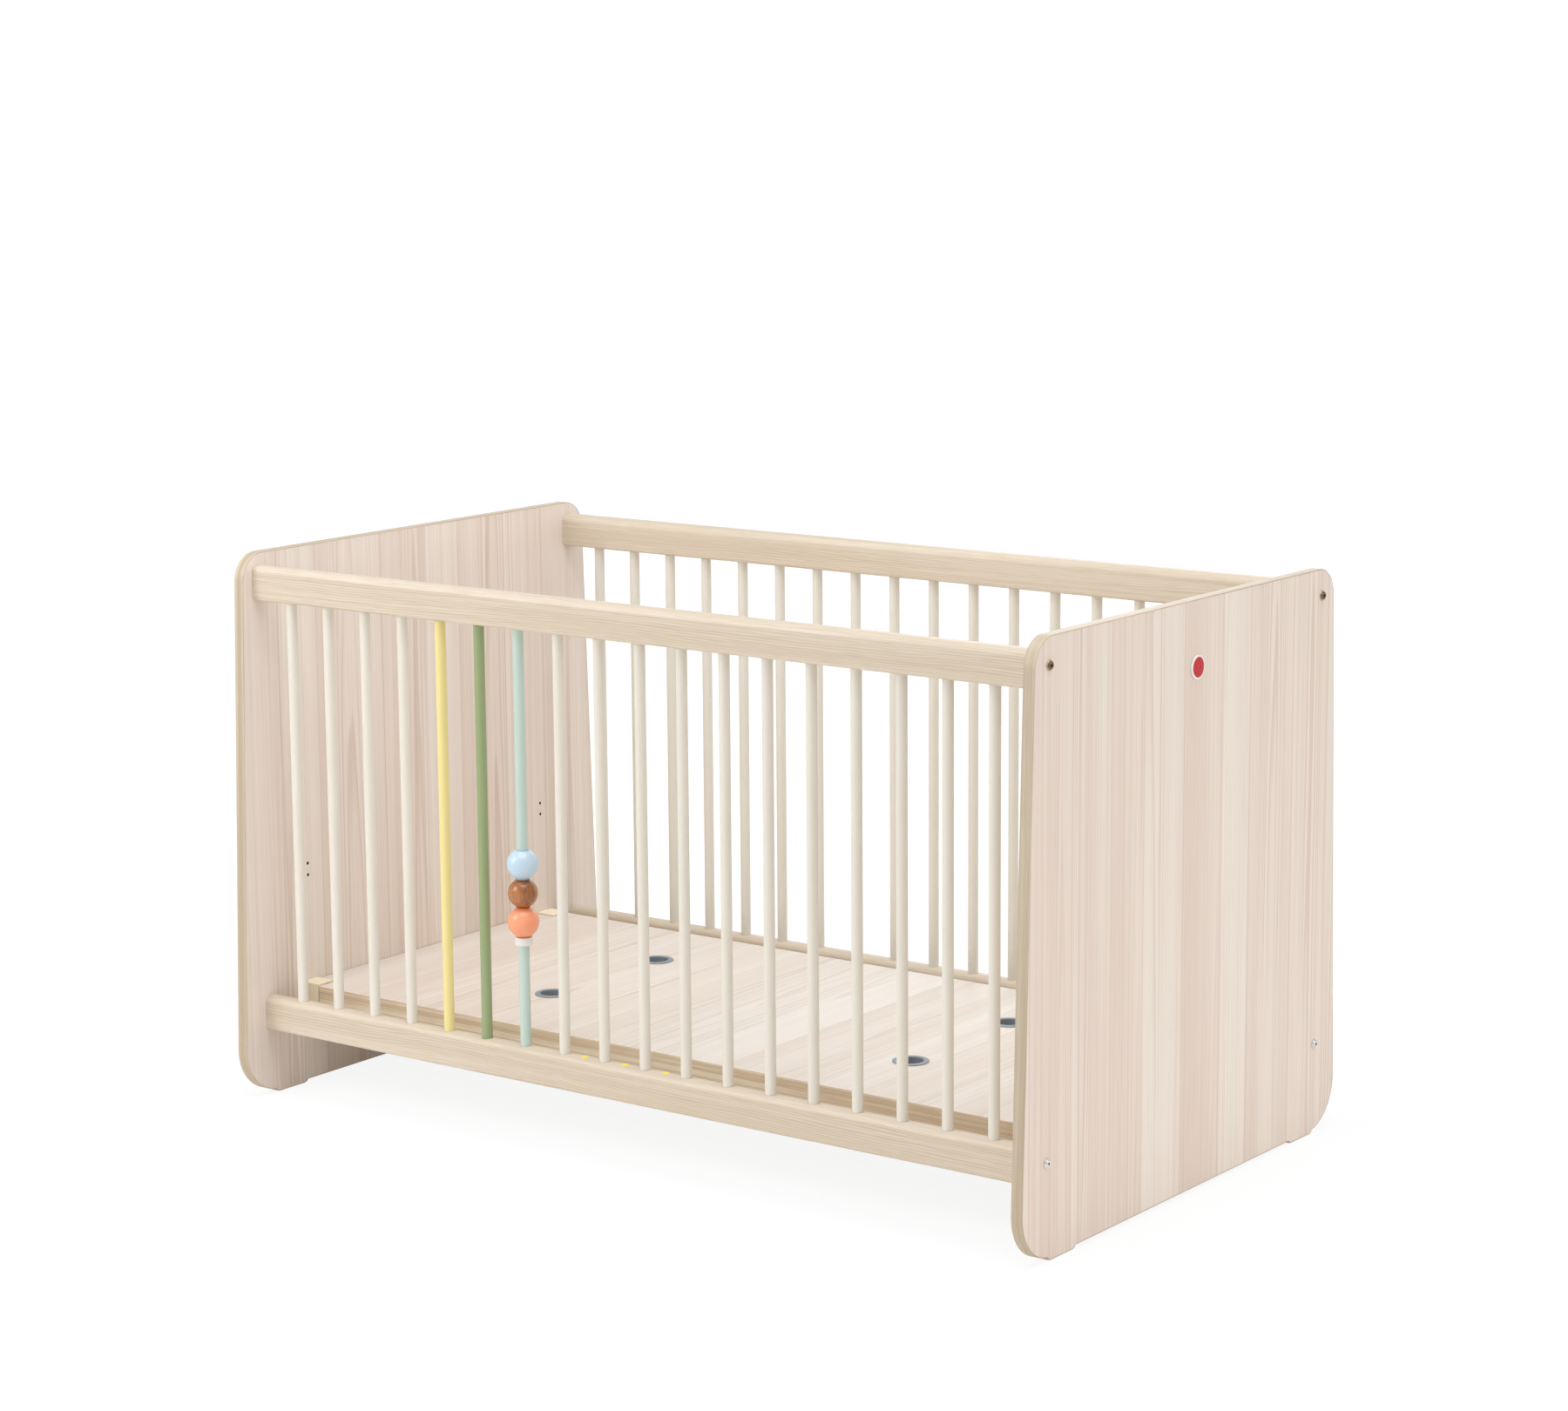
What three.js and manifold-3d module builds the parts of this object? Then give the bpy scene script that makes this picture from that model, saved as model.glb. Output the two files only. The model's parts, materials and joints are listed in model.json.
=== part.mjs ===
// A child's cot: two solid end panels joined by four rails, with round bars down both long sides, a
// base board that can be fixed at two heights, and three play beads that slide on one of the bars.
// Millimetres, +Z up. The origin is on the floor in the middle of the cot: X runs along its length,
// and the side with the coloured bars faces -Y.
import * as THREE from "three";
import { mergeVertices } from "three/addons/utils/BufferGeometryUtils.js";
import Module from "manifold-3d";

const wasm = await Module();
wasm.setup();

// ---- Driving dimensions ----
const seatGap = 0.3; // left between any two pieces that touch

const innerLength = 1400; // between the end panels
const innerWidth = 702; // between the front and the back rails

const panelThickness = 18;
const panelHeight = 842; // from its bottom edge to its top edge, without the feet
const panelTopOverhang = 19; // how far the panel stands out past the rails, at its top edge
const panelBottomOverhang = 47.5; // the same at its bottom edge: the panel widens downwards
const panelTopRadius = 43;
const panelBottomRadius = 71;
const footHeight = 4.5;
const footLength = 74;
const footRadius = 10;
const footInset = 63.5; // from the panel's bottom corner to the foot's outer end

const railHeight = 52;
const railThickness = 30;
const railTopRadius = 11;
const railBottomRadius = 3.5;
const lowerRailHeight = 104.5; // from the floor to the lower rails
const topRailDrop = 19.5; // from the panel's top edge down to the top rails

const barCount = 18;
const barDiameter = 16;
const barEndGap = 65.9; // from an end panel to the axis of the nearest bar
const barSocketDepth = 12;

const beadBar = 7; // the bar that carries the beads, counted from the left
const beadDiameter = 47;
const beadHeight = 44;
const middleBeadDiameter = 44.5;
const middleBeadHeight = 41.5;
const beadPlay = 2; // between a bead's bore and the bar, across both
const collarDiameter = 26;
const collarHeight = 12;
const collarRise = 151.5; // from the lower rail's top up to the collar

const boardSideGap = 49.5; // from the base board to a rail, seen from above
const boardEndGap = 0.8; // from the base board to an end panel
const boardThickness = 28;
const boardRise = 5; // the board's top above the lower rails' top
const ventDiameter = 46;
const ventInsetX = 364.2; // from the board's end to the axis of a vent hole
const ventInsetY = 172.5; // from the board's long edge to the axis of a vent hole

const bracketSize = 35; // along X and along Y
const bracketRise = 2.5; // the bracket's top above the board's top
const bracketLedge = 6; // thickness of the ledge that carries the board
const ledgeReach = 20; // how far the ledge goes in under the board
const notchClearance = 1.5; // between a bracket and the corner notch of the board
const screwHole = 5;
const screwSpacing = 18.5; // between the two screws of a bracket
const screwInset = 22; // from the board's long edge to the screws
const screwDrop = 5.5; // from the bracket's top to its upper screw hole
const screwHoleDepth = 10; // into the end panel
const screwHead = 7.4;
const screwHeadDepth = 20;
const heightStep = 190; // from the lower to the upper position of the base

const boltDiameter = 6;
const boltClearance = 1; // across the bolt, in the panel and in the rail
const boltGrip = 40; // how far the bolt reaches into the rail
const boltFlange = 15;
const boltFlangeThickness = 1;
const boltHead = 11;
const boltHeadHeight = 3.7; // from the panel to the top of the head
const boltSocket = 4; // across the flats
const boltSocketDepth = 2.5;
const boltRise = 6; // above the middle of the rail

const badgeDiameter = 34;
const badgeThickness = 3.5;
const badgeDrop = 94.5; // from the panel's top edge to the badge's middle
const badgeOffset = 10; // from the panel's middle towards the back

// ---- Sizes that follow from them ----
const panelTop = footHeight + panelHeight;
const lowerRailTop = lowerRailHeight + railHeight;
const topRailBottom = panelTop - topRailDrop - railHeight;
const halfOutside = innerWidth / 2 + railThickness; // from the middle to a rail's outer face
const barY = innerWidth / 2 + railThickness / 2;
const barPitch = (innerLength - 2 * barEndGap) / (barCount - 1);
const barX = (number) => barEndGap - innerLength / 2 + (number - 1) * barPitch;
const boardTop = lowerRailTop + boardRise;
const boardHalfLength = innerLength / 2 - boardEndGap;
const boardHalfWidth = innerWidth / 2 - boardSideGap;
const bracketTop = boardTop + bracketRise;
const ledgeTop = boardTop - boardThickness - seatGap;
const screwY = boardHalfWidth - screwInset;
const screwHeights = [bracketTop - screwDrop, bracketTop - screwDrop - screwSpacing];
const boltHeights = [lowerRailHeight, topRailBottom].map((z) => z + railHeight / 2 + boltRise);

// ---- Colours ----
const paint = (color, roughness, metalness = 0) =>
  new THREE.MeshStandardMaterial({ color, roughness, metalness });
const finishes = {
  panel: paint(0xe3d9cd, 0.55),
  rail: paint(0xe0d3bc, 0.55),
  board: paint(0xe4dace, 0.55),
  white: paint(0xece6d6, 0.45),
  yellow: paint(0xebd987, 0.45),
  green: paint(0x91aa73, 0.45),
  aqua: paint(0xc3ded4, 0.45),
  blueBead: paint(0xc3dae8, 0.25),
  walnut: paint(0xa56e4b, 0.35),
  coral: paint(0xf5a07d, 0.25),
  collar: paint(0xf0eee8, 0.4),
  bracket: paint(0xebdcbe, 0.5),
  steel: paint(0x9c958a, 0.3, 0.9),
  badge: paint(0xcc2c30, 0.3),
};

// ---- Solids ----
// A closed geometry as a solid that can be joined and cut.
function solid(geometry) {
  const bare = geometry.clone();
  bare.deleteAttribute("normal");
  bare.deleteAttribute("uv");
  const merged = mergeVertices(bare, 1e-4);
  return new wasm.Manifold(
    new wasm.Mesh({
      numProp: 3,
      vertProperties: new Float32Array(merged.attributes.position.array),
      triVerts: new Uint32Array(merged.index.array),
    }),
  );
}

function geometryOf(body) {
  const { numProp, vertProperties, triVerts } = body.getMesh();
  const data = new THREE.InterleavedBuffer(vertProperties, numProp);
  const indexed = new THREE.BufferGeometry();
  indexed.setAttribute("position", new THREE.InterleavedBufferAttribute(data, 3, 0));
  indexed.setIndex(new THREE.BufferAttribute(triVerts, 1));
  const flat = indexed.toNonIndexed();
  flat.computeVertexNormals();
  return flat;
}

// A box from its two corners, each [x, y, z].
function box(low, high) {
  const size = high.map((h, i) => h - low[i]);
  const middle = high.map((h, i) => (h + low[i]) / 2);
  return solid(new THREE.BoxGeometry(...size).translate(...middle));
}

// A round rod along X, at [y, z], or along Z, at [x, y].
function rod(axis, diameter, [from, to], at, sides = 12) {
  const straight = new THREE.CylinderGeometry(diameter / 2, diameter / 2, to - from, sides);
  if (axis === "x") straight.rotateZ(-Math.PI / 2).translate((from + to) / 2, ...at);
  else straight.rotateX(Math.PI / 2).translate(...at, (from + to) / 2);
  return solid(straight);
}

// The diameter over the corners of a flat-sided hole that clears a rod by the seat gap all round.
const holeFor = (diameter, sides = 12) => (diameter + 2 * seatGap) / Math.cos(Math.PI / sides);

// A stretch between two distances from the middle, on the side given by the sign.
const span = (side, near, far) => (side > 0 ? [near, far] : [-far, -near]);

// An outline of corners [y, z, radius] that runs anticlockwise, with each corner rounded.
function roundedOutline(corners) {
  const outline = new THREE.Shape();
  corners.forEach(([y, z, radius], i) => {
    const corner = new THREE.Vector2(y, z);
    const before = new THREE.Vector2(...corners.at(i - 1)).sub(corner).normalize();
    const after = new THREE.Vector2(...corners[(i + 1) % corners.length]).sub(corner).normalize();
    const half = Math.acos(before.dot(after)) / 2;
    const centre = before.clone().add(after).setLength(radius / Math.sin(half)).add(corner);
    const from = before.multiplyScalar(radius / Math.tan(half)).add(corner).sub(centre);
    const to = after.multiplyScalar(radius / Math.tan(half)).add(corner).sub(centre);
    outline.absarc(centre.x, centre.y, radius, from.angle(), to.angle(), false);
  });
  outline.closePath();
  return outline;
}

// An outline in Y and Z pushed along X from one place to another.
function extrudeAlongX(outline, [from, to], curveSegments) {
  const y = new THREE.Vector3(0, 1, 0);
  const z = new THREE.Vector3(0, 0, 1);
  const x = new THREE.Vector3(1, 0, 0);
  const settings = { depth: to - from, bevelEnabled: false, curveSegments };
  const pushed = new THREE.ExtrudeGeometry(outline, settings);
  pushed.applyMatrix4(new THREE.Matrix4().makeBasis(y, z, x)).translate(from, 0, 0);
  return solid(pushed);
}

const cut = (body, tools) => tools.reduce((left, tool) => left.subtract(tool), body);
const join = (bodies) => bodies.reduce((all, next) => all.add(next));

// A closed profile of [radius, height] points turned about Z.
function turned(profile, sides) {
  const points = [...profile, profile[0]].map(([radius, height]) => new THREE.Vector2(radius, height));
  return new THREE.LatheGeometry(points, sides).rotateX(Math.PI / 2);
}

// ---- End panels ----
// The right-hand panel: a board that widens downwards, with a foot near each bottom corner. The
// rails' bolts go through it, and each base bracket has a pair of screw holes at both heights.
function endPanel() {
  const inner = innerLength / 2;
  const outer = inner + panelThickness;
  const topHalf = halfOutside + panelTopOverhang;
  const bottomHalf = halfOutside + panelBottomOverhang;
  const plate = roundedOutline([
    [-bottomHalf, footHeight, panelBottomRadius],
    [bottomHalf, footHeight, panelBottomRadius],
    [topHalf, panelTop, panelTopRadius],
    [-topHalf, panelTop, panelTopRadius],
  ]);
  const parts = [extrudeAlongX(plate, [inner, outer], 5)];
  const holes = [];
  for (const side of [-1, 1]) {
    const footEnd = bottomHalf - footInset;
    const [low, high] = span(side, footEnd - footLength, footEnd);
    const foot = roundedOutline([
      [low, 0, footRadius],
      [high, 0, footRadius],
      [high, 3 * footRadius, footRadius],
      [low, 3 * footRadius, footRadius],
    ]);
    parts.push(extrudeAlongX(foot, [inner, outer], 4));
    for (const z of boltHeights) {
      const diameter = boltDiameter + boltClearance;
      holes.push(rod("x", diameter, [inner - 1, outer + 1], [side * barY, z]));
    }
    for (const z of screwHeights.flatMap((low) => [low, low + heightStep]))
      holes.push(rod("x", screwHole, [inner - 1, inner + screwHoleDepth], [side * screwY, z], 8));
  }
  return geometryOf(cut(join(parts), holes));
}

// ---- Rails ----
// The back rail whose underside is at z. Its bar sockets open upwards or downwards, and a bolt goes
// into each end.
function rail(z, opensUp) {
  const half = innerLength / 2 - seatGap;
  const section = roundedOutline([
    [innerWidth / 2, z, railBottomRadius],
    [halfOutside, z, railBottomRadius],
    [halfOutside, z + railHeight, railTopRadius],
    [innerWidth / 2, z + railHeight, railTopRadius],
  ]);
  const socket = opensUp
    ? [z + railHeight - barSocketDepth, z + railHeight + 1]
    : [z - 1, z + barSocketDepth];
  const holes = [];
  for (let number = 1; number <= barCount; number++)
    holes.push(rod("z", holeFor(barDiameter), socket, [barX(number), barY]));
  for (const end of [-1, 1]) {
    const reach = span(end, half - boltGrip - 1, half + 1);
    const boltZ = z + railHeight / 2 + boltRise;
    holes.push(rod("x", boltDiameter + boltClearance, reach, [barY, boltZ]));
  }
  return geometryOf(cut(extrudeAlongX(section, [-half, half], 3), holes));
}

// ---- Bars and play beads ----
const barEnds = [
  lowerRailTop - barSocketDepth + seatGap,
  topRailBottom + barSocketDepth - seatGap,
];

const bar = () =>
  new THREE.CylinderGeometry(barDiameter / 2, barDiameter / 2, barEnds[1] - barEnds[0], 12)
    .rotateX(Math.PI / 2)
    .translate(0, 0, (barEnds[0] + barEnds[1]) / 2);

// A ball with flat ends and a bore, with its lower end at the origin.
function bead(diameter, height) {
  const radius = diameter / 2;
  const steps = 9;
  const reach = Math.asin(height / diameter);
  const profile = [];
  for (let i = 0; i <= steps; i++) {
    const angle = -reach + (2 * reach * i) / steps;
    profile.push([radius * Math.cos(angle), height / 2 + radius * Math.sin(angle)]);
  }
  const bore = (barDiameter + beadPlay) / 2;
  profile.push([bore, height], [bore, 0]);
  return turned(profile, 20);
}

// The ring fixed on the bar that the beads rest on, with its lower end at the origin.
function collar() {
  const inside = holeFor(barDiameter, 20) / 2;
  const outside = collarDiameter / 2;
  return turned([[outside, 0], [outside, collarHeight], [inside, collarHeight], [inside, 0]], 20);
}

// ---- Base ----
const bracketOuter = innerLength / 2 - seatGap;

// The board lies on the ledges of the four brackets, which fill its corner notches.
function baseBoard() {
  const bottom = boardTop - boardThickness;
  const notchX = bracketOuter - bracketSize - notchClearance;
  const notchY = boardHalfWidth - bracketSize - notchClearance;
  const tools = [];
  for (const end of [-1, 1])
    for (const side of [-1, 1]) {
      const [x0, x1] = span(end, notchX, boardHalfLength + 1);
      const [y0, y1] = span(side, notchY, boardHalfWidth + 1);
      tools.push(box([x0, y0, bottom - 1], [x1, y1, boardTop + 1]));
      const vent = [end * (boardHalfLength - ventInsetX), side * (boardHalfWidth - ventInsetY)];
      tools.push(rod("z", ventDiameter, [bottom - 1, boardTop + 1], vent, 24));
    }
  const board = box(
    [-boardHalfLength, -boardHalfWidth, bottom],
    [boardHalfLength, boardHalfWidth, boardTop],
  );
  return geometryOf(cut(board, tools));
}

// A block screwed to the end panel, with a ledge that goes in under the board.
function bracket(end, side) {
  const bottom = ledgeTop - bracketLedge;
  const reach = bracketSize + ledgeReach;
  const [x0, x1] = span(end, bracketOuter - bracketSize, bracketOuter);
  const [y0, y1] = span(side, boardHalfWidth - bracketSize, boardHalfWidth);
  const [ledgeX0, ledgeX1] = span(end, bracketOuter - reach, bracketOuter);
  const [ledgeY0, ledgeY1] = span(side, boardHalfWidth - reach, boardHalfWidth);
  const block = box([x0, y0, bottom], [x1, y1, bracketTop]);
  const ledge = box([ledgeX0, ledgeY0, bottom], [ledgeX1, ledgeY1, ledgeTop]);
  const headFloor = bracketOuter - bracketSize + screwHeadDepth;
  const holes = screwHeights.flatMap((z) => [
    rod("x", screwHole, span(end, headFloor - 1, bracketOuter + 1), [side * screwY, z], 8),
    rod("x", screwHead, span(end, bracketOuter - bracketSize - 1, headFloor), [side * screwY, z], 8),
  ]);
  return geometryOf(cut(block.add(ledge), holes));
}

// ---- Fasteners and badge ----
// A bolt with a flanged head and a hexagon socket. Its axis is Z, and the panel's face is at zero.
function bolt() {
  const shank = boltDiameter / 2;
  const flange = boltFlange / 2;
  const head = boltHead / 2;
  const flangeTop = seatGap + boltFlangeThickness;
  const body = turned(
    [
      [0, -panelThickness - boltGrip],
      [shank, -panelThickness - boltGrip],
      [shank, seatGap],
      [flange, seatGap],
      [flange, flangeTop],
      [head, flangeTop],
      [head, boltHeadHeight - 1],
      [head - 1, boltHeadHeight],
      [0, boltHeadHeight],
    ],
    12,
  );
  const socketCorners = boltSocket / Math.cos(Math.PI / 6);
  const socket = [boltHeadHeight - boltSocketDepth, boltHeadHeight + 1];
  return geometryOf(solid(body).subtract(rod("z", socketCorners, socket, [0, 0], 6)));
}

const badge = () =>
  new THREE.CylinderGeometry(badgeDiameter / 2, badgeDiameter / 2, badgeThickness, 32)
    .rotateZ(-Math.PI / 2)
    .translate(seatGap + badgeThickness / 2, 0, 0);

// ---- The cot ----
const cot = new THREE.Group();

function place(group, name, geometry, material, position = [0, 0, 0]) {
  const mesh = new THREE.Mesh(geometry, material);
  mesh.name = name;
  mesh.position.set(...position);
  group.add(mesh);
  return mesh;
}

const panelGeometry = endPanel();
place(cot, "right_end_panel", panelGeometry, finishes.panel);
place(cot, "left_end_panel", panelGeometry, finishes.panel).rotation.z = Math.PI;

const topRail = rail(topRailBottom, false);
const lowerRail = rail(lowerRailHeight, true);
place(cot, "back_top_rail", topRail, finishes.rail);
place(cot, "front_top_rail", topRail, finishes.rail).rotation.z = Math.PI;
place(cot, "back_lower_rail", lowerRail, finishes.rail);
place(cot, "front_lower_rail", lowerRail, finishes.rail).rotation.z = Math.PI;

const colouredBars = new Map([
  [beadBar - 2, "yellow"],
  [beadBar - 1, "green"],
  [beadBar, "aqua"],
]);
const barGeometry = bar();
const sides = { front: -barY, back: barY };
for (const [side, y] of Object.entries(sides))
  for (let number = 1; number <= barCount; number++) {
    const color = (side === "front" && colouredBars.get(number)) || "white";
    const name = `${side}_bar_${String(number).padStart(2, "0")}`;
    place(cot, name, barGeometry, finishes[color], [barX(number), y, 0]);
  }

const beads = new THREE.Group();
beads.position.set(barX(beadBar), -barY, lowerRailTop + collarRise);
place(beads, "bead_collar", collar(), finishes.collar);
const stack = [
  ["coral_bead", beadDiameter, beadHeight, finishes.coral],
  ["walnut_bead", middleBeadDiameter, middleBeadHeight, finishes.walnut],
  ["blue_bead", beadDiameter, beadHeight, finishes.blueBead],
];
let rest = collarHeight + seatGap;
for (const [name, diameter, height, finish] of stack) {
  place(beads, name, bead(diameter, height), finish, [0, 0, rest]);
  rest += height + seatGap;
}
cot.add(beads);

place(cot, "base_board", baseBoard(), finishes.board);
const ends = { left: -1, right: 1 };
for (const [end, endSign] of Object.entries(ends))
  for (const [side, y] of Object.entries(sides)) {
    place(cot, `${side}_${end}_bracket`, bracket(endSign, Math.sign(y)), finishes.bracket);
    boltHeights.forEach((z, row) => {
      const name = `${side}_${end}_${row === 0 ? "lower" : "upper"}_bolt`;
      const x = endSign * (innerLength / 2 + panelThickness);
      place(cot, name, bolt(), finishes.steel, [x, y, z]).rotation.y = (endSign * Math.PI) / 2;
    });
  }

const badgePlace = [innerLength / 2 + panelThickness, badgeOffset, panelTop - badgeDrop];
place(cot, "round_badge", badge(), finishes.badge, badgePlace);

export default cot;
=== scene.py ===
"""The looks of a child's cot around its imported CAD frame.

Every CAD node is stood for by a finer mesh of the same size in the same place: banded end panels,
foil-wrapped rails, painted bars, lacquered play beads, a laminated base board and plated bolts.
Metres, +Z up. X runs along the cot, and the side with the coloured bars faces -Y.
"""

import json
from math import acos, asin, atan2, cos, degrees, pi, radians, sin

import bmesh
import bpy
from mathutils import Euler, Matrix, Vector


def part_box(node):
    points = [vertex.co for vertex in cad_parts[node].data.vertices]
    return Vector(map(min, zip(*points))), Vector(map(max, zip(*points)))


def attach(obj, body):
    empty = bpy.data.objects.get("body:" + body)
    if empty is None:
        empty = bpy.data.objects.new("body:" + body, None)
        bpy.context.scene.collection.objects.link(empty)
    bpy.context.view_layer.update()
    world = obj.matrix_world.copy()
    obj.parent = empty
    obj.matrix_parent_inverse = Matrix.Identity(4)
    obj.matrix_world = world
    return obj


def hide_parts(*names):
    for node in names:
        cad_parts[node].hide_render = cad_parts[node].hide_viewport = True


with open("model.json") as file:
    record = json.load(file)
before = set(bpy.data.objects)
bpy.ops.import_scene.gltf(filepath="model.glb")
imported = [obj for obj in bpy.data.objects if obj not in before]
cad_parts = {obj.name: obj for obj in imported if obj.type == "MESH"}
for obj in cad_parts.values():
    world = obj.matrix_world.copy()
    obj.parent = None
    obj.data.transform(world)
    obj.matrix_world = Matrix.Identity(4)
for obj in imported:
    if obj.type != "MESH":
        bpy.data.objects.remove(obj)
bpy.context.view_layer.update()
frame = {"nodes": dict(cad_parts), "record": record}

MM = 0.001

# ---- Dimensions that the boxes of the CAD nodes don't give ----
PANEL_TOP_RADIUS = 43 * MM
PANEL_BOTTOM_RADIUS = 71 * MM
PANEL_TAPER = 28.5 * MM  # how much further the panel stands out at its bottom edge than at its top
FOOT_HEIGHT = 4.5 * MM
FOOT_LENGTH = 74 * MM
FOOT_RADIUS = 10 * MM
FOOT_INSET = 63.5 * MM  # from the panel's lower corner to the foot
BAND_DEPTH = 1.6 * MM  # the edge band with its glue line, seen on the panel's face
GLUE_LINE = 0.5 * MM
BAND_ROUND = 1.0 * MM
SCREW_HOLE = 5 * MM
SCREW_SPACING = 18.5 * MM
SCREW_INSET = 22 * MM
SCREW_DROP = 5.5 * MM
SCREW_DEPTH = 10 * MM
HEIGHT_STEP = 190 * MM  # between the two heights that the base can be fixed at
BOLT_HOLE_PLAY = 0.5 * MM

RAIL_TOP_RADIUS = 11 * MM
RAIL_BOTTOM_RADIUS = 3.5 * MM
SOCKET_DEPTH = 12 * MM
SOCKET_PLAY = 0.35 * MM  # between a bar and its socket, all round
BEAD_PLAY = 1.0 * MM  # between a bead and the bar, all round

VENT_HOLE = 46 * MM
VENT_RING = 54 * MM
VENT_OPENING = 37 * MM
BRACKET_LEDGE = 20 * MM  # how far the bracket reaches under the board
NOTCH_CLEARANCE = 1.5 * MM  # between the board's notched corner and the bracket
PLUG = 11 * MM
PLUG_PROUD = 0.5 * MM
PLUG_DEPTH = 6 * MM

BOLT_SHANK = 6 * MM
BOLT_FLANGE = 15 * MM
BOLT_HEAD = 11 * MM
BOLT_SOCKET = 4 * MM
BOLT_SOCKET_DEPTH = 3 * MM


# ---- Camera, floor and light ----
def make_camera():
    data = bpy.data.cameras.new("camera")
    data.sensor_width = 36
    data.lens = 86.56
    camera = bpy.data.objects.new("camera", data)
    camera.location = (3.3125, -4.4351, 1.6227)
    heading, pitch, roll = 0.639, -0.178, -0.0074
    level = Euler((pi / 2 + pitch, 0, heading)).to_matrix()
    camera.rotation_euler = (level @ Matrix.Rotation(roll, 3, "Z")).to_euler()
    bpy.context.scene.collection.objects.link(camera)
    bpy.context.scene.camera = camera


def make_light(name, place, target, size, power, colour):
    data = bpy.data.lights.new(name, "AREA")
    data.shape = "RECTANGLE"
    data.size, data.size_y = size
    data.energy = power
    data.color = colour
    light = bpy.data.objects.new(name, data)
    light.location = place
    light.rotation_euler = (Vector(target) - Vector(place)).to_track_quat("-Z", "Y").to_euler()
    bpy.context.scene.collection.objects.link(light)


def make_studio():
    """A white horizon under a dimmer sky, a soft key light from the left and three fills."""
    scene = bpy.context.scene
    scene.view_settings.view_transform = "Standard"
    world = bpy.data.worlds.new("studio")
    world.use_nodes = True
    nodes, links = world.node_tree.nodes, world.node_tree.links
    split = nodes.new("ShaderNodeSeparateXYZ")
    sky = nodes.new("ShaderNodeMapRange")
    sky.interpolation_type = "SMOOTHSTEP"
    # Full strength up to 3 degrees above the horizon, half of it from 20 degrees up.
    band = {"From Min": sin(radians(3)), "From Max": sin(radians(20)), "To Min": 1.0, "To Max": 0.5}
    for socket, value in band.items():
        sky.inputs[socket].default_value = value
    links.new(nodes.new("ShaderNodeTexCoord").outputs["Generated"], split.inputs[0])
    links.new(split.outputs["Z"], sky.inputs["Value"])
    background = nodes["Background"]
    background.inputs["Color"].default_value = (1.06, 1.05, 1.03, 1)
    links.new(sky.outputs[0], background.inputs["Strength"])
    scene.world = world
    make_light("key", (-1.55, -2.2, 1.75), (-0.5, -0.3, 0.4), (1.3, 1.3), 25, (0.96, 0.98, 1.03))
    make_light("fill", (4.1, 0.9, 1.8), (0.5, 0, 0.45), (2.4, 2.4), 27, (1.0, 1.0, 1.0))
    make_light("overhead", (0.5, -0.8, 3.9), (0, 0, 0.4), (3.0, 2.4), 90, (0.94, 0.99, 1.07))
    make_light("back", (-0.8, 3.6, 2.2), (0, 0, 0.5), (2.6, 1.6), 18, (0.93, 0.98, 1.06))


# ---- Node recipes ----
def screen(red, green, blue):
    """A linear colour from screen values between 0 and 255."""
    shares = [v / 255 for v in (red, green, blue)]
    return (*[v / 12.92 if v <= 0.04045 else ((v + 0.055) / 1.055) ** 2.4 for v in shares], 1.0)


class Recipe:
    """A material made node by node. An input is a plain value or another node's output."""

    def __init__(self, name, **surface):
        self.material = bpy.data.materials.new(name)
        self.material.use_nodes = True
        self.tree = self.material.node_tree
        self.surface = self.tree.nodes["Principled BSDF"]
        for socket, value in surface.items():
            self.surface.inputs[socket.replace("_", " ")].default_value = value
        self.place = self.add("TexCoord").outputs["Object"]

    def put(self, socket, value):
        if isinstance(value, bpy.types.NodeSocket):
            self.tree.links.new(value, socket)
        else:
            socket.default_value = value

    def add(self, kind, inputs=None, **settings):
        node = self.tree.nodes.new("ShaderNode" + kind)
        for name, value in settings.items():
            setattr(node, name, value)
        for key, value in (inputs or {}).items():
            self.put(node.inputs[key], value)
        return node

    def calc(self, operation, first, second=0.0, third=0.0):
        inputs = {0: first, 1: second, 2: third}
        return self.add("Math", inputs, operation=operation).outputs[0]

    def scaled(self, vector, scale, shift=(0, 0, 0)):
        inputs = {0: vector, 1: scale, 2: shift}
        return self.add("VectorMath", inputs, operation="MULTIPLY_ADD").outputs[0]

    def noise(self, vector, detail=2.0, roughness=0.5):
        inputs = {"Vector": vector, "Scale": 1.0, "Detail": detail, "Roughness": roughness}
        return self.add("TexNoise", inputs).outputs[0]

    def ease(self, value, low, high, to_low=0.0, to_high=1.0):
        """A smooth step from one value to another as the input goes from low to high."""
        inputs = {
            "Value": value,
            "From Min": low,
            "From Max": high,
            "To Min": to_low,
            "To Max": to_high,
        }
        return self.add("MapRange", inputs, interpolation_type="SMOOTHSTEP").outputs[0]

    def mix(self, share, first, second):
        node = self.add("Mix", data_type="RGBA")
        self.put(node.inputs[0], share)
        self.put(node.inputs[6], first)
        self.put(node.inputs[7], second)
        return node.outputs[2]

    def colour(self, value):
        self.put(self.surface.inputs["Base Color"], value)

    def rough(self, value):
        self.put(self.surface.inputs["Roughness"], value)

    def bump(self, height, strength, distance):
        inputs = {"Height": height, "Strength": strength, "Distance": distance}
        self.put(self.surface.inputs["Normal"], self.add("Bump", inputs).outputs[0])


AXES = "xyz"


def stretched(across, along, grain):
    """Texture scales per metre: along on each axis that the grain follows, across on the others."""
    return tuple(along if name in grain else across for name in AXES)


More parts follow.
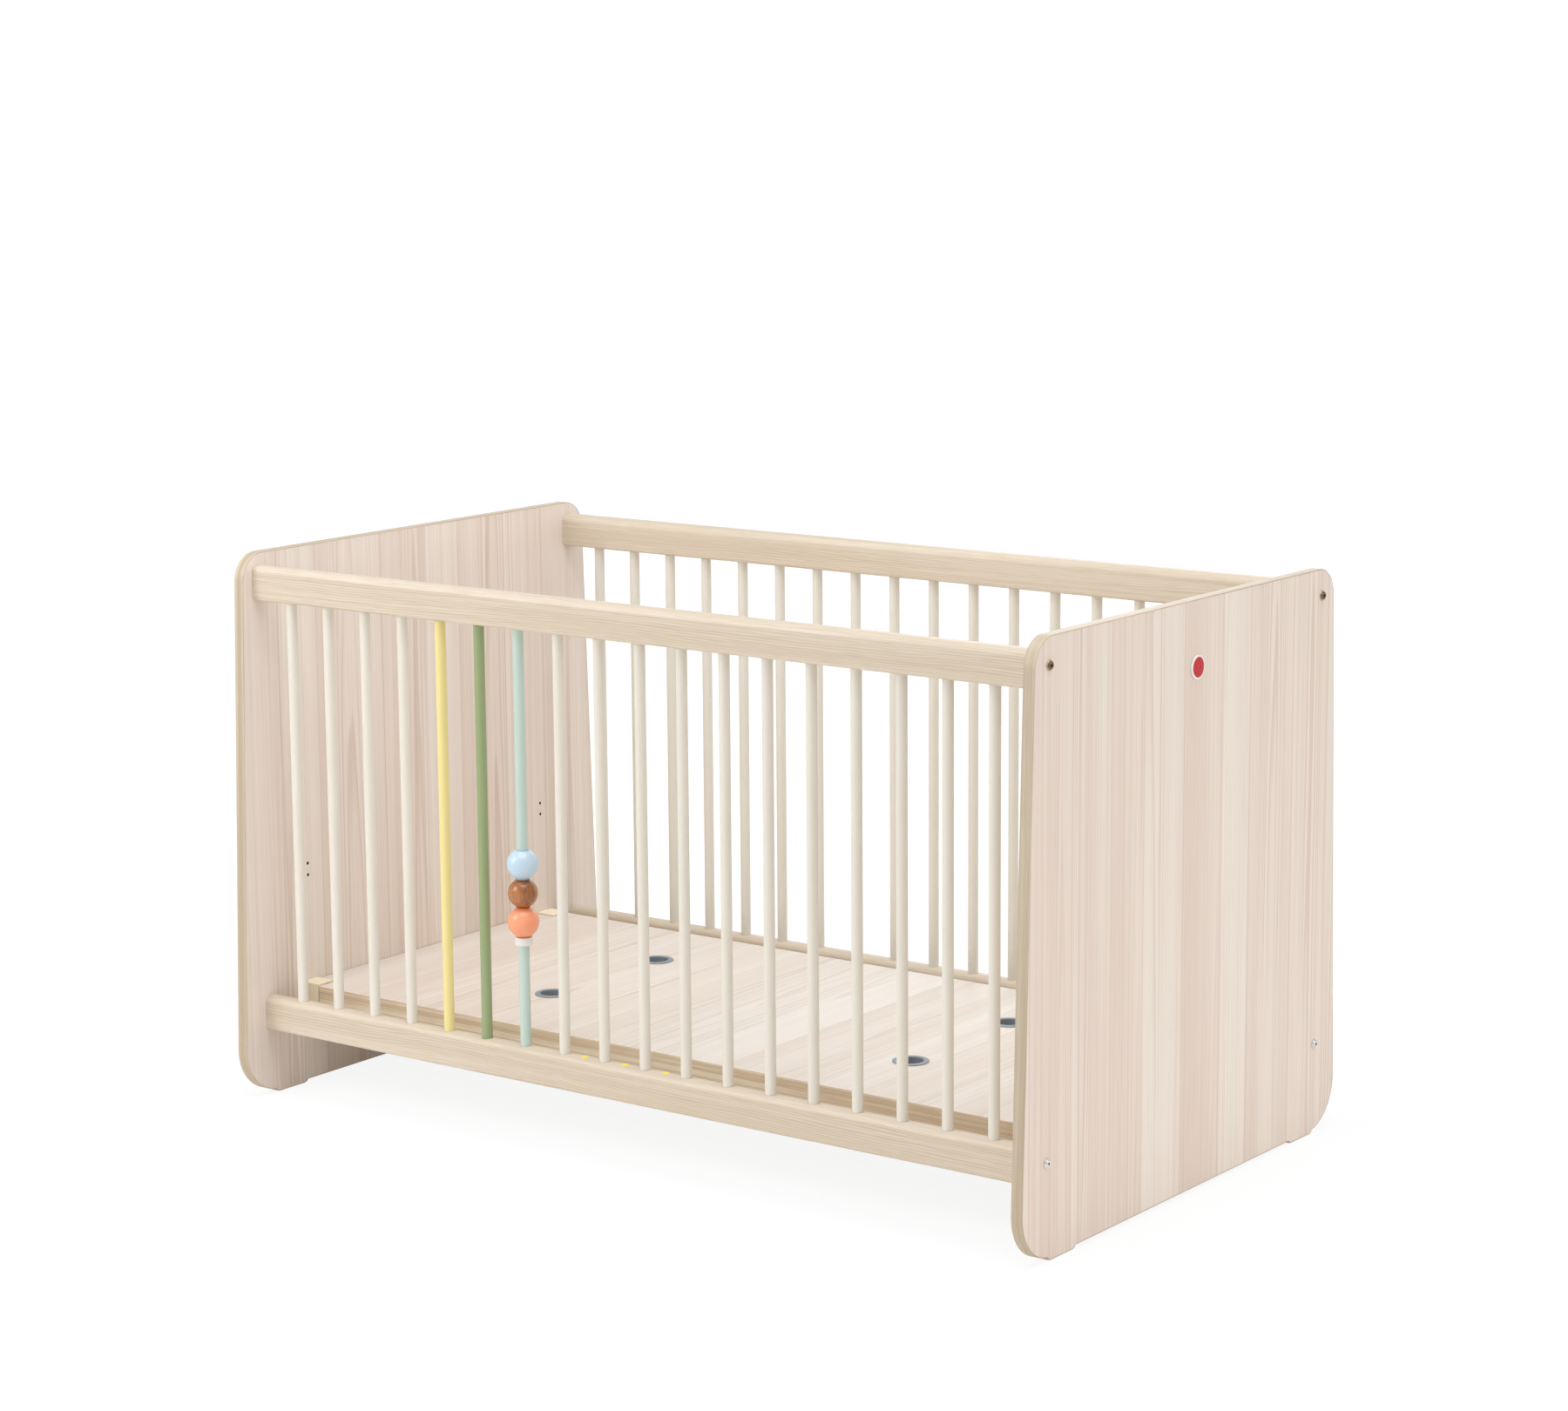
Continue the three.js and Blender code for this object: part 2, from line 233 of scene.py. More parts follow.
# ---- Materials ----
def laminate(name, grain, across, seed, contrast, pale, light, warm, line):
    """A printed wood decor: strips of unlike timber side by side, each with its own grain."""
    strip_width = 105 * MM
    recipe = Recipe(name, Roughness=0.42, IOR=1.45)
    split = recipe.add("SeparateXYZ", {0: recipe.place}).outputs
    along, sideways = split[AXES.index(grain)], split[AXES.index(across)]
    through = split[AXES.index(next(a for a in AXES if a not in grain + across))]
    # The strips shift a little through the board, so its two faces don't mirror each other.
    sideways = recipe.calc("MULTIPLY_ADD", through, 2.3, sideways)
    row = recipe.calc("MULTIPLY_ADD", sideways, 1 / strip_width, seed)
    cells = {"W": row, "Scale": 1.0}
    strip = recipe.add("TexVoronoi", cells, voronoi_dimensions="1D").outputs
    joint = recipe.add("TexVoronoi", cells, voronoi_dimensions="1D", feature="DISTANCE_TO_EDGE")
    to_joint = joint.outputs["Distance"]
    tone = recipe.add("SeparateColor", {0: strip["Color"]}).outputs
    shifts = {i: recipe.calc("MULTIPLY", tone[i], 37.0) for i in range(3)}
    offset = recipe.add("CombineXYZ", shifts).outputs[0]

    # Growth rings: parallel lines at a strip's sides that close into arches along its middle.
    from_middle = recipe.calc("SUBTRACT", row, strip["W"])
    arch = recipe.calc("MULTIPLY", from_middle, from_middle)
    arch = recipe.calc("MULTIPLY", arch, recipe.calc("MULTIPLY_ADD", tone[1], 40.0, 22.0))
    slope = recipe.calc("MULTIPLY", recipe.calc("SUBTRACT", tone[2], 0.5), 6.0)
    arch = recipe.calc("MULTIPLY_ADD", along, slope, arch)
    drift_place = recipe.scaled(recipe.place, stretched(16, 0.9, grain), offset)
    drift = recipe.noise(drift_place, 2.0, 0.45)
    ring = recipe.calc("FRACT", recipe.calc("MULTIPLY_ADD", drift, 4.0, arch))
    late = recipe.calc("MULTIPLY", recipe.ease(ring, 0.4, 0.9), recipe.ease(ring, 1.0, 0.93))

    streak_place = recipe.scaled(recipe.place, stretched(110, 0.4, grain), offset)
    streak = recipe.noise(streak_place, 2.0, 0.5)
    line_place = recipe.scaled(recipe.place, stretched(520, 0.8, grain), offset)
    lines = recipe.noise(line_place, 2.0, 0.6)
    fibre = recipe.noise(recipe.scaled(recipe.place, stretched(700, 12, grain)), 2.0, 0.6)
    cloud = recipe.noise(recipe.scaled(recipe.place, stretched(14, 0.8, grain), offset))

    # A strip is light or warm as a whole and streaked along its grain. A thin line parts it from
    # the next one.
    warmth = recipe.calc("MULTIPLY", tone[0], 0.5)
    share = recipe.calc("MULTIPLY_ADD", recipe.ease(cloud, 0.3, 0.7), 0.3, warmth)
    base = recipe.mix(share, light, warm)
    base = recipe.mix(recipe.ease(lines, 0.48, 0.3, 0.0, 0.4 * contrast), base, pale)
    base = recipe.mix(recipe.ease(lines, 0.5, 0.72, 0.0, 0.27 * contrast), base, line)
    strength = recipe.calc("MULTIPLY_ADD", tone[1], 0.26 * contrast, 0.04 * contrast)
    dark_streak = recipe.calc("MULTIPLY", recipe.ease(streak, 0.56, 0.68), strength)
    base = recipe.mix(dark_streak, base, line)
    ring_strength = recipe.ease(cloud, 0.35, 0.6, 0.06, 0.34)
    base = recipe.mix(recipe.calc("MULTIPLY", late, ring_strength), base, line)
    base = recipe.mix(recipe.ease(to_joint, 0.004, 0.02, 0.4 * contrast, 0.0), base, line)
    pores = recipe.ease(fibre, 0.5, 0.75, 0.0, 0.12)
    recipe.colour(recipe.mix(pores, base, line))
    recipe.rough(recipe.ease(fibre, 0.3, 0.7, 0.38, 0.48))
    recipe.bump(fibre, 0.12, 0.0001)
    return recipe.material


def foil(name, grain, light, warm, line, spacing=3.6 * MM, wander=9.0):
    """Embossed wood-grain foil: fine, slightly wavy lines along the grain over soft streaks."""
    recipe = Recipe(name, Roughness=0.42, IOR=1.5, Coat_Weight=0.12, Coat_Roughness=0.4)
    split = recipe.add("SeparateXYZ", {0: recipe.place}).outputs
    drift = recipe.noise(recipe.scaled(recipe.place, stretched(14, 1.7, grain)), 3.0, 0.5)
    count = recipe.calc("MULTIPLY", drift, wander)
    for axis, letter in enumerate(AXES):
        if letter not in grain:
            count = recipe.calc("MULTIPLY_ADD", split[axis], 1 / spacing, count)
    ring = recipe.calc("FRACT", count)
    late = recipe.calc("MULTIPLY", recipe.ease(ring, 0.25, 0.85), recipe.ease(ring, 1.0, 0.9))
    streak = recipe.noise(recipe.scaled(recipe.place, stretched(120, 1.2, grain)), 3.0, 0.6)
    fibre = recipe.noise(recipe.scaled(recipe.place, stretched(900, 20, grain)), 2.0, 0.5)
    base = recipe.mix(recipe.ease(streak, 0.33, 0.68), light, warm)
    base = recipe.mix(recipe.ease(fibre, 0.4, 0.7, 0.0, 0.22), base, line)
    patch = recipe.ease(streak, 0.3, 0.6, 0.12, 0.36)
    recipe.colour(recipe.mix(recipe.calc("MULTIPLY", late, patch), base, line))
    recipe.rough(recipe.ease(fibre, 0.4, 0.7, 0.38, 0.47))
    recipe.bump(recipe.calc("SUBTRACT", 1.0, late), 0.15, 0.0001)
    return recipe.material


def paint(name, colour, deep):
    """Satin paint on a turned bar, with the wood's grain faintly raised under it."""
    roughness = 0.4
    recipe = Recipe(name, Roughness=roughness, IOR=1.47)
    grain = recipe.noise(recipe.scaled(recipe.place, (420, 420, 9)), 2.0, 0.5)
    film = recipe.noise(recipe.scaled(recipe.place, (34, 34, 12)), 2.0, 0.5)
    recipe.colour(recipe.mix(recipe.ease(film, 0.25, 0.8, 0.0, 0.25), colour, deep))
    recipe.rough(recipe.ease(grain, 0.2, 0.8, roughness - 0.05, roughness + 0.07))
    recipe.bump(grain, 0.04, 0.00004)
    return recipe.material


def lacquer(name, colour, deep):
    """Opaque gloss lacquer on a bead."""
    recipe = Recipe(name, Roughness=0.3, IOR=1.5, Coat_Weight=0.35, Coat_Roughness=0.16)
    film = recipe.noise(recipe.scaled(recipe.place, (60, 60, 60)), 3.0, 0.5)
    recipe.colour(recipe.mix(recipe.ease(film, 0.3, 0.75, 0.0, 0.5), colour, deep))
    recipe.bump(film, 0.03, 0.0002)
    return recipe.material


def stained(name, light, deep, line):
    """Clear lacquer over stained wood, streaked along its grain."""
    recipe = Recipe(name, Roughness=0.34, IOR=1.5, Coat_Weight=0.5, Coat_Roughness=0.12)
    warp = recipe.noise(recipe.scaled(recipe.place, (50, 50, 12)), 2.0, 0.5)
    streak = recipe.noise(recipe.scaled(recipe.place, (260, 260, 22)), 3.0, 0.6)
    fibre = recipe.noise(recipe.scaled(recipe.place, (1100, 1100, 90)), 2.0, 0.6)
    depth = recipe.ease(streak, 0.35, 0.65, 0.0, 0.5)
    share = recipe.calc("MULTIPLY_ADD", recipe.ease(warp, 0.3, 0.7), 0.5, depth)
    base = recipe.mix(share, light, deep)
    recipe.colour(recipe.mix(recipe.ease(fibre, 0.5, 0.8, 0.0, 0.5), base, line))
    recipe.bump(fibre, 0.06, 0.0001)
    return recipe.material


def plastic(name, colour, deep, roughness, grain=900.0):
    """Moulded plastic with a fine spark-eroded texture."""
    recipe = Recipe(name, Roughness=roughness, IOR=1.46)
    texture = recipe.noise(recipe.scaled(recipe.place, (grain, grain, grain)), 2.0, 0.5)
    flow = recipe.noise(recipe.scaled(recipe.place, (40, 40, 40)), 2.0, 0.5)
    recipe.colour(recipe.mix(recipe.ease(flow, 0.3, 0.7, 0.0, 0.5), colour, deep))
    recipe.rough(recipe.ease(texture, 0.3, 0.7, roughness - 0.05, roughness + 0.06))
    recipe.bump(texture, 0.1, 0.00006)
    return recipe.material


def plated(name, light, deep, smooth=0.2):
    """Metal plating with fine turning marks."""
    recipe = Recipe(name, Metallic=1.0, Roughness=smooth)
    marks = recipe.noise(recipe.scaled(recipe.place, (260, 2600, 2600)), 2.0, 0.5)
    recipe.colour(recipe.mix(recipe.ease(marks, 0.3, 0.7), light, deep))
    recipe.rough(recipe.ease(marks, 0.3, 0.7, smooth, smooth + 0.14))
    recipe.bump(marks, 0.08, 0.00003)
    return recipe.material


def floor_paint(name, shade, glow=None):
    """Matt paint with a cloudy variation. A glow near the cot rises to another one away from it."""
    recipe = Recipe(name, Roughness=1.0, Specular_IOR_Level=0.0)
    cloud = recipe.noise(recipe.scaled(recipe.place, (0.7, 0.7, 0.7)))
    lighter = tuple(min(1.0, 1.03 * v) for v in shade)
    recipe.colour(recipe.mix(recipe.ease(cloud, 0.3, 0.7), shade, lighter))
    if glow:
        flat = recipe.scaled(recipe.place, (0.85, 1.1, 0))
        outwards = recipe.add("VectorMath", {0: flat}, operation="LENGTH").outputs["Value"]
        recipe.put(recipe.surface.inputs["Emission Color"], (1, 1, 1, 1))
        strength = recipe.ease(outwards, 0.8, 1.8, *glow)
        recipe.put(recipe.surface.inputs["Emission Strength"], strength)
    return recipe.material


def tones(*colours):
    """Linear colours from screen values, lightest first."""
    return [screen(*colour) for colour in colours]


PANEL_TONES = tones((243, 235, 227), (237, 226, 215), (226, 208, 194), (190, 154, 132))
BOARD_TONES = tones((241, 236, 228), (235, 228, 218), (224, 210, 196), (192, 164, 142))
RAIL_TONES = tones((219, 205, 185), (213, 198, 176), (170, 143, 111))
BAND_TONES = tones((206, 191, 168), (188, 170, 144), (158, 134, 104))
EDGE_TONES = tones((250, 235, 210), (222, 198, 164), (172, 142, 106))
GLUE_TONES = tones((212, 178, 160), (202, 164, 146), (190, 150, 132))
WALNUT_TONES = tones((186, 116, 58), (134, 76, 34), (96, 54, 26))
materials = {
    "panel": laminate("panel_decor", "z", "y", 3.4, 0.75, *PANEL_TONES),
    "board": laminate("board_decor", "y", "x", 8.2, 0.55, *BOARD_TONES),
    "rail": foil("rail_decor", "x", *RAIL_TONES),
    "band": foil("edge_band", "yz", *BAND_TONES, spacing=2.4 * MM, wander=2.5),
    "board_band": foil("board_edge_band", "xy", *EDGE_TONES, spacing=3.2 * MM, wander=3.0),
    "glue": foil("glue_line", "yz", *GLUE_TONES),
    # Raw chipboard for hole walls and hidden edges, darker than bare chipboard: partly its own
    # colour, partly painted shade in the holes.
    "chipboard_and_painted_shade": plastic("chipboard_and_painted_shade", screen(112, 84, 58), screen(84, 60, 40), 0.8, 1500.0),
    "white": paint("white_paint", screen(228, 222, 209), screen(219, 211, 195)),
    "yellow": paint("yellow_paint", screen(238, 221, 150), screen(230, 209, 132)),
    "green": paint("green_paint", screen(151, 165, 118), screen(139, 153, 103)),
    "aqua": paint("aqua_paint", screen(193, 211, 200), screen(180, 200, 188)),
    "coral": lacquer("coral_lacquer", screen(248, 160, 118), screen(242, 149, 107)),
    "walnut": stained("walnut_lacquer", *WALNUT_TONES),
    "blue": lacquer("blue_lacquer", screen(192, 214, 228), screen(181, 205, 222)),
    "collar": plastic("white_plastic", screen(236, 232, 224), screen(228, 223, 213), 0.42),
    "bracket": plastic("beige_plastic", screen(250, 236, 208), screen(243, 227, 196), 0.55),
    "vent": plastic("grey_plastic", screen(140, 148, 154), screen(126, 134, 140), 0.4),
    "plug": plastic("yellow_plastic", screen(255, 226, 20), screen(250, 216, 10), 0.35),
    "nickel": plated("nickel", screen(240, 238, 234), screen(218, 214, 206)),
    # The upper bolts' flange plating is lighter than their head: a painted highlight round the rim.
    "rim": plated("bronze_rim_painted_highlight", screen(214, 198, 174), screen(170, 148, 120), 0.16),
    "bronze": plated("bronzed_nickel", screen(150, 126, 100), screen(104, 84, 64), 0.26),
    # A near-black plating for the hexagon socket: painted shade in the recess.
    "recess": plated("bolt_socket_painted_shade", screen(62, 52, 44), screen(44, 36, 30), 0.4),
    "badge": plastic("red_plastic", screen(196, 30, 40), screen(180, 24, 34), 0.3),
    "badge_rim": plastic("badge_rim_plastic", screen(244, 242, 238), screen(236, 233, 228), 0.35),
}


# ---- Making pieces ----
SMOOTH_BELOW = radians(32)


def finish_piece(mesh, name, paints, body, slot, *stands_for):
    """Shades and paints a finished mesh, and makes it ride on its body and stand for CAD nodes."""
    mesh.shade_smooth()
    mesh.set_sharp_from_angle(angle=SMOOTH_BELOW)
    mesh = baked(mesh, "WEIGHTED_NORMAL", {"keep_sharp": True, "weight": 90})
    mesh.name = name
    for paint_name in paints:
        mesh.materials.append(materials[paint_name])
    piece = bpy.data.objects.new(name, mesh)
    bpy.context.scene.collection.objects.link(piece)
    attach(piece, body)
    if stands_for:
        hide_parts(*stands_for)


def mesh_of(shape):
    """A mesh from a bmesh, with its faces turned outwards."""
    bmesh.ops.recalc_face_normals(shape, faces=shape.faces)
    mesh = bpy.data.meshes.new("mesh")
    shape.to_mesh(mesh)
    shape.free()
    return mesh


def baked(mesh, kind, settings):
    """The mesh after one modifier."""
    holder = bpy.data.objects.new("holder", mesh)
    bpy.context.scene.collection.objects.link(holder)
    modifier = holder.modifiers.new(kind, kind)
    for key, value in settings.items():
        setattr(modifier, key, value)
    graph = bpy.context.evaluated_depsgraph_get()
    result = bpy.data.meshes.new_from_object(holder.evaluated_get(graph))
    bpy.data.objects.remove(holder)
    bpy.data.meshes.remove(mesh)
    return result


def cut(mesh, tool_shape):
    """The mesh less the closed solids of one bmesh."""
    tools = bpy.data.objects.new("tools", mesh_of(tool_shape))
    bpy.context.scene.collection.objects.link(tools)
    settings = {"object": tools, "operation": "DIFFERENCE", "solver": "EXACT"}
    result = baked(mesh, "BOOLEAN", settings)
    tool_mesh = tools.data
    bpy.data.objects.remove(tools)
    bpy.data.meshes.remove(tool_mesh)
    return result


def eased(mesh, width, steps, above=40):
    """The mesh with its sharp edges rounded."""
    settings = {
        "width": width,
        "segments": steps,
        "limit_method": "ANGLE",
        "angle_limit": radians(above),
        "miter_outer": "MITER_ARC",
    }
    return baked(mesh, "BEVEL", settings)


def arc(centre, radius, start, end, steps):
    """Points of an arc between two angles in degrees, both ends included."""
    angles = [radians(start + (end - start) * i / steps) for i in range(steps + 1)]
    return [(centre[0] + radius * cos(a), centre[1] + radius * sin(a)) for a in angles]


def box_outline(low, high, radii, steps):
    """A rectangle with rounded corners: bottom left, bottom right, top right and top left."""
    corners = [(low[0], low[1]), (high[0], low[1]), (high[0], high[1]), (low[0], high[1])]
    inward = [(1, 1), (-1, 1), (-1, -1), (1, -1)]
    points = []
    for number, (corner, sign, radius) in enumerate(zip(corners, inward, radii)):
        centre = (corner[0] + sign[0] * radius, corner[1] + sign[1] * radius)
        points += arc(centre, radius, 180 + 90 * number, 270 + 90 * number, steps)
    return points


def pushed(outline, start, end, axis="x"):
    """A bmesh prism: an outline in the other two axes, pushed along X or Z."""
    shape = bmesh.new()
    rings = []
    for height in (start, end):
        points = [(height, *p) if axis == "x" else (*p, height) for p in outline]
        rings.append([shape.verts.new(point) for point in points])
    shape.faces.new(rings[0][::-1])
    shape.faces.new(rings[1])
    count = len(outline)
    for i in range(count):
        j = (i + 1) % count
        shape.faces.new((rings[0][i], rings[0][j], rings[1][j], rings[1][i]))
    return shape


def turned(profile, sides, closed=True):
    """A bmesh turned about Z from (radius, height) points: a closed loop, or ended on the axis."""
    shape = bmesh.new()
    rings = []
    for radius, height in profile:
        if radius < 1e-9:
            rings.append([shape.verts.new((0, 0, height))])
            continue
        turn = [2 * pi * i / sides for i in range(sides)]
        rings.append([shape.verts.new((radius * cos(a), radius * sin(a), height)) for a in turn])
    following = rings[1:] + rings[:1] if closed else rings[1:]
    for first, second in zip(rings, following):
        for i in range(sides):
            j = (i + 1) % sides
            here = [first[i % len(first)], first[j % len(first)]]
            there = [second[j % len(second)], second[i % len(second)]]
            corners = list(dict.fromkeys(here + there))
            if len(corners) > 2:
                shape.faces.new(corners)
    return shape


def rod(shape, axis, radius, start, end, at, sides=32):
    """Adds a closed round rod to a bmesh, along one axis at a place in the other two."""
    around = arc((0, 0), radius, 0, 360 - 360 / sides, sides - 1)
    circle = [(at[0] + x, at[1] + y) for x, y in around]
    scratch = mesh_of(pushed(circle, start, end, axis))
    shape.from_mesh(scratch)
    bpy.data.meshes.remove(scratch)


def span(side, near, far):
    """The stretch between two distances from the middle, on one side of it."""
    return (near, far) if side > 0 else (-far, -near)


# ---- End panels ----
panel_low, panel_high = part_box("right_end_panel")
rail_low, rail_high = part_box("back_top_rail")
board_low, board_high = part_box("base_board")
bracket_low, bracket_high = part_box("back_right_bracket")
bar_axis_y = (rail_low.y + rail_high.y) / 2


def half_outline():
    """The panel's outline on its +Y side as (y, z), from its bottom edge up to its top edge."""
    bottom, top = FOOT_HEIGHT, panel_high.z
    lean = atan2(PANEL_TAPER, top - bottom)
    # The box's widest point lies on the lower corner's arc, which reaches straight out.
    low_centre = (panel_high.y - PANEL_BOTTOM_RADIUS, bottom + PANEL_BOTTOM_RADIUS)
    edge = low_centre[0] * cos(lean) + low_centre[1] * sin(lean) + PANEL_BOTTOM_RADIUS
    high_z = top - PANEL_TOP_RADIUS
    high_centre = ((edge - PANEL_TOP_RADIUS - high_z * sin(lean)) / cos(lean), high_z)
    corner_y = (edge - bottom * sin(lean)) / cos(lean)

    outer = (corner_y - FOOT_INSET - FOOT_RADIUS, FOOT_RADIUS)
    inner = (corner_y - FOOT_INSET - FOOT_LENGTH + FOOT_RADIUS, FOOT_RADIUS)
    rise = degrees(asin((FOOT_RADIUS - FOOT_HEIGHT) / FOOT_RADIUS))
    gap = Vector(low_centre) - Vector(outer)
    towards = degrees(atan2(gap.y, gap.x))
    # The foot's arc leaves off where it meets the arc of the panel's lower corner.
    squares = FOOT_RADIUS**2 + gap.length**2 - PANEL_BOTTOM_RADIUS**2
    leave = towards - degrees(acos(squares / (2 * FOOT_RADIUS * gap.length)))
    meet = Vector(outer) + FOOT_RADIUS * Vector((cos(radians(leave)), sin(radians(leave))))
    arrive = degrees(atan2(meet.y - low_centre[1], meet.x - low_centre[0]))
    return [
        *arc(inner, FOOT_RADIUS, 180 + rise, 270, 6),
        *arc(outer, FOOT_RADIUS, 270, leave % 360, 6),
        *arc(low_centre, PANEL_BOTTOM_RADIUS, arrive, degrees(lean), 24)[1:],
        *arc(high_centre, PANEL_TOP_RADIUS, degrees(lean), 90, 20),
    ]


def inset(outline, distance):
    """An anticlockwise outline moved inwards, corner by corner."""
    result = []
    for i, point in enumerate(outline):
        here = Vector(point)
        before = (here - Vector(outline[i - 1])).normalized()
        after = (Vector(outline[(i + 1) % len(outline)]) - here).normalized()
        bisector = (Vector((-before.y, before.x)) + Vector((-after.y, after.x))).normalized()
        share = max(0.3, bisector.dot(Vector((-before.y, before.x))))
        result.append(tuple(here + bisector * (distance / share)))
    return result


def end_panel(name, sign):
    """A board with its bolt and screw holes, and the band round its edge."""
    right = half_outline()
    outline = right + [(-y, z) for y, z in reversed(right)]
    near, far = span(sign, panel_low.x, panel_high.x)
    core = mesh_of(pushed(inset(outline, BAND_DEPTH), near, far))

    holes = bmesh.new()
    inner_face = sign * panel_low.x
    for side in (-1, 1):
        for node in ("lower", "upper"):
            bolt_low, bolt_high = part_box(f"back_right_{node}_bolt")
            bolt_z = (bolt_low.z + bolt_high.z) / 2
            hole = BOLT_SHANK / 2 + BOLT_HOLE_PLAY
            rod(holes, "x", hole, near - MM, far + MM, (side * bar_axis_y, bolt_z))
        for lift in (0, HEIGHT_STEP):
            for drop in (SCREW_DROP, SCREW_DROP + SCREW_SPACING):
                at = (side * (board_high.y - SCREW_INSET), bracket_high.z - drop + lift)
                start, end = sorted((inner_face - sign * MM, inner_face + sign * SCREW_DEPTH))
                rod(holes, "x", SCREW_HOLE / 2, start, end, at, 20)
    core = eased(cut(core, holes), 0.25 * MM, 2)
    # Hole walls and the edges under the band take the dark chipboard, which is partly painted shade
    # inside the holes.
    for face in core.polygons:
        inside = near + MM < face.center.x < far - MM
        face.material_index = 1 if inside or abs(face.normal.x) < 0.3 else 0
    finish_piece(core, name + "_board", ["panel", "chipboard_and_painted_shade"], "root", "panel_laminate", name)
    edge_band(name + "_edge_band", outline, near, far)


def edge_band(name, outline, near, far):
    """The band glued round a panel's edge, rounded, with a thin line of glue on each face."""
    steps = 4
    section = [(BAND_DEPTH, near), (BAND_DEPTH - GLUE_LINE, near)]
    for i in range(steps + 1):
        angle = pi / 2 * i / steps
        section.append((BAND_ROUND * (1 - sin(angle)), near + BAND_ROUND * (1 - cos(angle))))
    section += [(depth, near + far - x) for depth, x in reversed(section)]
    rings = []
    shape = bmesh.new()
    for depth, x in section:
        rings.append([shape.verts.new((x, *p)) for p in inset(outline, depth)])
    count = len(outline)
    last = len(section) - 1
    for number in range(last + 1):
        first, second = rings[number], rings[(number + 1) % (last + 1)]
        for i in range(count):
            j = (i + 1) % count
            face = shape.faces.new((first[i], first[j], second[j], second[i]))
            face.material_index = 1 if number in (0, last - 1) else 0
    finish_piece(mesh_of(shape), name, ["band", "glue"], "root", "panel_laminate")


# ---- Rails ----
def bar_places(side):
    """The name and the axis, as (x, y), of every bar on one side."""
    for node in sorted(n for n in frame["nodes"] if n.startswith(side + "_bar_")):
        low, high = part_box(node)
        yield node, ((low.x + high.x) / 2, (low.y + high.y) / 2)


bar_low, bar_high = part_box("front_bar_01")
BAR_RADIUS = (bar_high.x - bar_low.x) / 2


def rail(node, side, opens_up):
    """A rail with rounded edges and a socket for each bar."""
    low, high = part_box(node)
    radii = [RAIL_BOTTOM_RADIUS] * 2 + [RAIL_TOP_RADIUS] * 2
    mesh = mesh_of(pushed(box_outline(low.yz, high.yz, radii, 12), low.x, high.x))
    socket = (low.z - MM, low.z + SOCKET_DEPTH)
    if opens_up:
        socket = (high.z - SOCKET_DEPTH, high.z + MM)
    holes = bmesh.new()
    for _, place in bar_places(side):
        rod(holes, "z", BAR_RADIUS + SOCKET_PLAY, *socket, place, 40)
    finish_piece(cut(mesh, holes), node + "_foil", ["rail"], "root", "rail_foil", node)


# ---- Bars and play beads ----
def make_bars():
    coloured = {"front_bar_05": "yellow", "front_bar_06": "green", "front_bar_07": "aqua"}
    chamfer = 1.2 * MM
    for side in ("front", "back"):
        for node, place in bar_places(side):
            low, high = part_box(node)
            bottom = [(0, low.z), (BAR_RADIUS - chamfer, low.z), (BAR_RADIUS, low.z + chamfer)]
            top = [(BAR_RADIUS, high.z - chamfer), (BAR_RADIUS - chamfer, high.z), (0, high.z)]
            shape = turned(bottom + top, 48, closed=False)
            bmesh.ops.translate(shape, verts=shape.verts, vec=(*place, 0))
            colour = coloured.get(node, "white")
            slot = colour + "_paint"
            finish_piece(mesh_of(shape), node + "_dowel", [colour], "root", slot, node)


def bead(node, colour, slot, body):
    """A ball with flattened ends, whose bore is rounded at both mouths."""
    low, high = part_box(node)
    radius, height = (high.x - low.x) / 2, high.z - low.z
    middle = (low + high) / 2
    bore = BAR_RADIUS + BEAD_PLAY
    lip = 1.4 * MM
    reach = degrees(asin(height / 2 / radius))
    ball = arc((0, 0), radius, -reach, reach, 28)
    upper_lip = arc((bore + lip, height / 2 - lip), lip, 90, 180, 6)
    lower_lip = arc((bore + lip, -height / 2 + lip), lip, 180, 270, 6)
    shape = turned(ball + upper_lip + lower_lip, 64)
    bmesh.ops.translate(shape, verts=shape.verts, vec=middle)
    finish_piece(mesh_of(shape), node + "_turning", [colour], body, slot, node)


def bead_collar():
    """The ring on the aqua bar that the beads rest on."""
    node = "bead_collar"
    low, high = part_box(node)
    radius, height = (high.x - low.x) / 2, high.z - low.z
    inside = BAR_RADIUS + SOCKET_PLAY
    bore_edge, rim_edge = 0.4 * MM, 0.9 * MM
    radii = [bore_edge, rim_edge, rim_edge, bore_edge]
    shape = turned(box_outline((inside, 0), (radius, height), radii, 5), 56)
    middle = ((low.x + high.x) / 2, (low.y + high.y) / 2, low.z)
    bmesh.ops.translate(shape, verts=shape.verts, vec=middle)
    finish_piece(mesh_of(shape), node + "_ring", ["collar"], "root", "white_plastic", node)


# ---- Base ----
def vent_places():
    """The axes of the board's vent holes, read from the openings in the record."""
    for opening in frame["record"]["physics"]["openings"]:
        if opening["name"].startswith("vent_"):
            low, high = opening["box_m"]
            yield opening["name"], ((low[0] + high[0]) / 2, (low[1] + high[1]) / 2)


